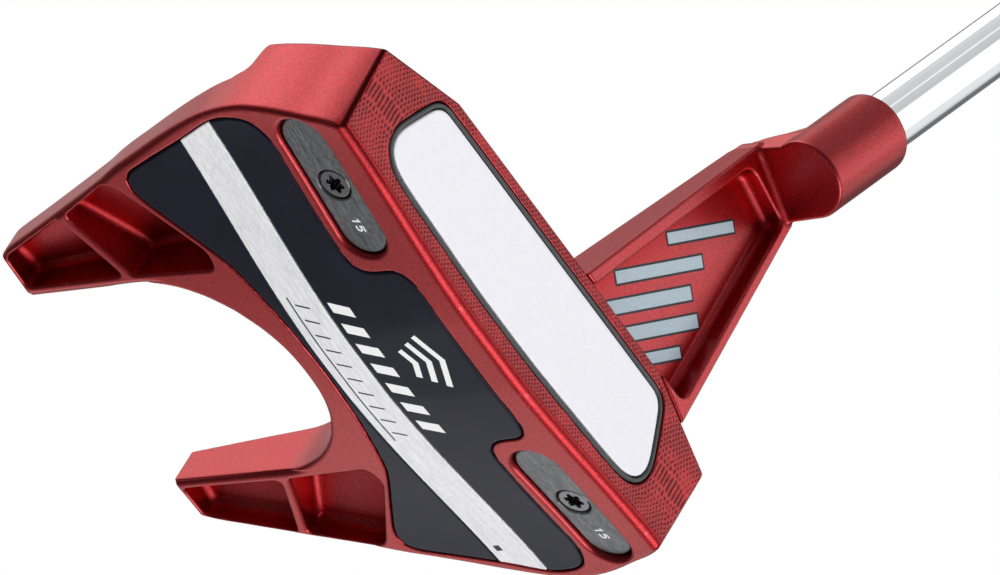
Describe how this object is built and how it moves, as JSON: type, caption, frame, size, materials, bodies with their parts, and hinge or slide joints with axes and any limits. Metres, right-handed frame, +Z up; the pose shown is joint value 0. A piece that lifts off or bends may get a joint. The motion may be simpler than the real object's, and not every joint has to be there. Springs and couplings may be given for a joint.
{
  "type": "mallet putter",
  "caption": "Right-handed fanged mallet putter with a webbed beam hosel, white face insert, dark sole plate, screw-held sole weights, steel shaft and rubber grip.",
  "frame": {"origin": "middle of the small flat of the sole the club rests on, on the head's centre line, 3.5 mm behind the foot of the face", "axes": "+X towards the heel, -X towards the toe, the face looks along -Y, +Y towards the back of the head, +Z up"},
  "size_m": [0.3639, 0.1033, 0.8147],
  "materials": {
    "red_head": "red anodised, fine bead blast; milled on the face",
    "red_hosel": "red metallic coat on steel, fine bead blast",
    "dark_tray": "dark grey anodised",
    "white_insert": "matt white urethane",
    "black_plate": "gloss black coat on steel",
    "bright_strip": "brushed from heel to toe",
    "grey_weight": "gunmetal, brushed lengthwise",
    "dark_screw": "blackened steel",
    "chrome_shaft": "polished plating",
    "tape": "matt paper tape",
    "grip_rubber": "matt, finely textured",
    "cap_plastic": "matt moulded"
  },
  "bodies": {
    "club": {"head_body": "red_head", "hosel": "red_hosel", "insert_backer": "dark_tray", "face_insert": "white_insert", "sole_plate": "black_plate", "sole_stripe": "bright_strip", "shaft": "chrome_shaft", "grip_tape": "tape", "grip": "grip_rubber", "grip_end_cap": "cap_plastic"},
    "toe_weight": {"toe_weight": "grey_weight"},
    "toe_screw": {"toe_weight_screw": "dark_screw"},
    "heel_weight": {"heel_weight": "grey_weight"},
    "heel_screw": {"heel_weight_screw": "dark_screw"}
  },
  "joints": [
    {"name": "toe_weight_out", "type": "slide", "parent": "club", "child": "toe_weight", "axis": [-0.1078, 0, -0.9942], "range_m": [0, 0.007]},
    {"name": "toe_screw_turn", "type": "hinge", "parent": "toe_weight", "child": "toe_screw", "pos_m": [-0.03565, 0.00725, 0.00256], "axis": [-0.1078, 0, -0.9942], "range_deg": [0, 3601]},
    {"name": "heel_weight_out", "type": "slide", "parent": "club", "child": "heel_weight", "axis": [0.1078, 0, -0.9942], "range_m": [0, 0.007]},
    {"name": "heel_screw_turn", "type": "hinge", "parent": "heel_weight", "child": "heel_screw", "pos_m": [0.03565, 0.00725, 0.00256], "axis": [0.1078, 0, -0.9942], "range_deg": [0, 3601]}
  ],
  "couplings": [
    {"joint": "toe_screw_turn", "follows": "toe_weight_out", "rad_per_m": 8976},
    {"joint": "heel_screw_turn", "follows": "heel_weight_out", "rad_per_m": 8976}
  ]
}
